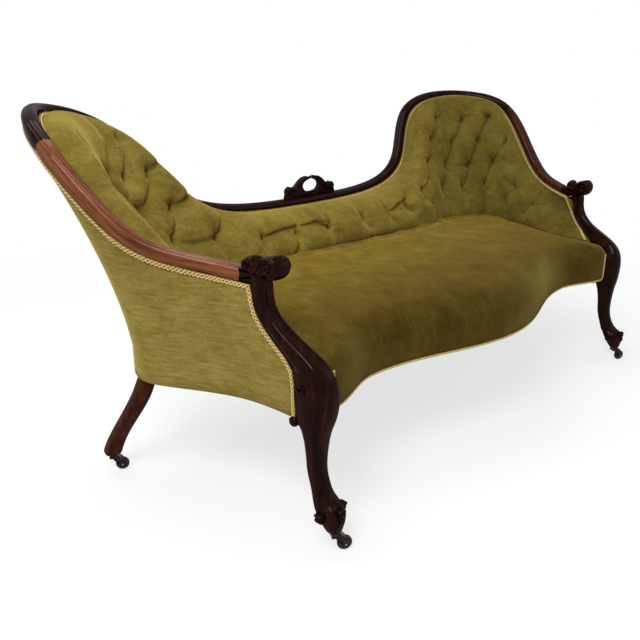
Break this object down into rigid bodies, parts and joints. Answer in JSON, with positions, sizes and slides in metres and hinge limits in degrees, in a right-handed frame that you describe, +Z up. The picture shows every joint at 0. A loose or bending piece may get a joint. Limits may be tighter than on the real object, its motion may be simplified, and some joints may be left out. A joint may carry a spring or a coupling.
{
  "type": "spoon-back settee",
  "caption": "Settee with a high spoon-shaped back at each end, low centre with a pierced crest, tufted back, serpentine sprung seat, carved wood legs and castors.",
  "frame": {"origin": "on the floor under the middle of the settee's bounding box", "axes": "+X along the settee towards the sitter's left, which is the viewer's right facing the front; +Y to the back; +Z up"},
  "size_m": [1.9874, 0.9431, 0.903],
  "materials": {
    "show_wood": "polished dark mahogany",
    "arm_wood": "polished red-brown mahogany",
    "frame_wood": "bare beech",
    "velvet": "olive velvet, brushed nap",
    "braid": "gold scroll gimp braid",
    "jute": "woven jute",
    "calico": "black calico",
    "spring_steel": "drawn wire",
    "castor_iron": "dark, worn",
    "castor_steel": "turned pin",
    "castor_wheel": "dark, tread worn bright"
  },
  "bodies": {
    "settee": {"front_left_castor_plate": "castor_iron", "front_right_castor_plate": "castor_iron", "back_left_castor_plate": "castor_iron", "back_right_castor_plate": "castor_iron", "left_front_leg": "show_wood", "left_back_leg": "show_wood", "left_arm_rail": "arm_wood", "left_spoon_rail": "show_wood", "left_seat_rail": "frame_wood", "left_cross_rail": "frame_wood", "left_corner_block": "frame_wood", "left_spoon_post": "frame_wood", "left_centre_upright": "frame_wood", "left_inside_back": "velvet", "left_outside_panel": "velvet", "left_outer_gimp": "braid", "left_inner_gimp": "braid", "right_front_leg": "show_wood", "right_back_leg": "show_wood", "right_arm_rail": "arm_wood", "right_spoon_rail": "show_wood", "right_seat_rail": "frame_wood", "right_cross_rail": "frame_wood", "right_corner_block": "frame_wood", "right_spoon_post": "frame_wood", "right_centre_upright": "frame_wood", "right_inside_back": "velvet", "right_outside_panel": "velvet", "right_outer_gimp": "braid", "right_inner_gimp": "braid", "centre_back_rail": "show_wood", "crest_carving": "show_wood", "front_seat_rail": "frame_wood", "back_seat_rail": "frame_wood", "seat_webbing": "jute", "seat_hessian": "jute", "seat_pad": "velvet", "dust_cover": "calico", "centre_inside_back": "velvet", "centre_outside_panel": "velvet", "front_gimp": "braid", "spring_1": "spring_steel", "spring_2": "spring_steel", "spring_3": "spring_steel", "spring_4": "spring_steel", "spring_5": "spring_steel", "spring_6": "spring_steel"},
    "front_left_swivel": {"front_left_castor_horn": "castor_iron", "front_left_castor_axle": "castor_steel"},
    "front_left_roller": {"front_left_castor_wheel": "castor_wheel"},
    "front_right_swivel": {"front_right_castor_horn": "castor_iron", "front_right_castor_axle": "castor_steel"},
    "front_right_roller": {"front_right_castor_wheel": "castor_wheel"},
    "back_left_swivel": {"back_left_castor_horn": "castor_iron", "back_left_castor_axle": "castor_steel"},
    "back_left_roller": {"back_left_castor_wheel": "castor_wheel"},
    "back_right_swivel": {"back_right_castor_horn": "castor_iron", "back_right_castor_axle": "castor_steel"},
    "back_right_roller": {"back_right_castor_wheel": "castor_wheel"}
  },
  "joints": [
    {"name": "front_left_swivel_hinge", "type": "hinge", "parent": "settee", "child": "front_left_swivel", "pos_m": [-0.742, -0.447, 0.046], "axis": [0, 0, 1], "continuous": true},
    {"name": "front_left_roll_hinge", "type": "hinge", "parent": "front_left_swivel", "child": "front_left_roller", "pos_m": [-0.72315, -0.45834, 0.017], "axis": [0.5153, 0.857, 0], "continuous": true},
    {"name": "front_right_swivel_hinge", "type": "hinge", "parent": "settee", "child": "front_right_swivel", "pos_m": [0.742, -0.447, 0.046], "axis": [0, 0, 1], "continuous": true},
    {"name": "front_right_roll_hinge", "type": "hinge", "parent": "front_right_swivel", "child": "front_right_roller", "pos_m": [0.76085, -0.45834, 0.017], "axis": [0.5153, 0.857, 0], "continuous": true},
    {"name": "back_left_swivel_hinge", "type": "hinge", "parent": "settee", "child": "back_left_swivel", "pos_m": [-0.884, 0.19, 0.046], "axis": [0, 0, 1], "continuous": true},
    {"name": "back_left_roll_hinge", "type": "hinge", "parent": "back_left_swivel", "child": "back_left_roller", "pos_m": [-0.86515, 0.17866, 0.017], "axis": [0.5153, 0.857, 0], "continuous": true},
    {"name": "back_right_swivel_hinge", "type": "hinge", "parent": "settee", "child": "back_right_swivel", "pos_m": [0.884, 0.19, 0.046], "axis": [0, 0, 1], "continuous": true},
    {"name": "back_right_roll_hinge", "type": "hinge", "parent": "back_right_swivel", "child": "back_right_roller", "pos_m": [0.90285, 0.17866, 0.017], "axis": [0.5153, 0.857, 0], "continuous": true}
  ]
}
